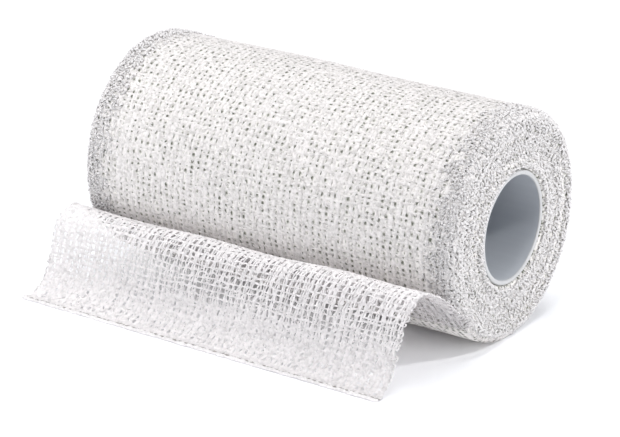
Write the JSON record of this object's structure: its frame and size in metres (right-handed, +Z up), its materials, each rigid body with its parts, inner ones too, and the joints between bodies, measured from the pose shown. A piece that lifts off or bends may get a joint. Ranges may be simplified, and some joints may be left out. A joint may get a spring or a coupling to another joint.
{
  "type": "gauze bandage roll on a plastic core",
  "caption": "Open-weave crinkled gauze bandage wound on a plastic core tube, lying on its side with its loose end humped and laid in front.",
  "frame": {"origin": "middle of the flat spot underneath the roll, on the surface that it rests on", "axes": "+X along the roll's axis, +Z up; the loose end comes off the roll's front and is laid towards -Y"},
  "size_m": [0.1036, 0.073, 0.0531],
  "materials": {
    "gauze": "matt bleached open-weave crinkled gauze",
    "core_plastic": "satin moulded white"
  },
  "bodies": {
    "root": {"wound_roll": "gauze", "loose_end": "gauze", "core_tube": "core_plastic"}
  },
  "joints": []
}
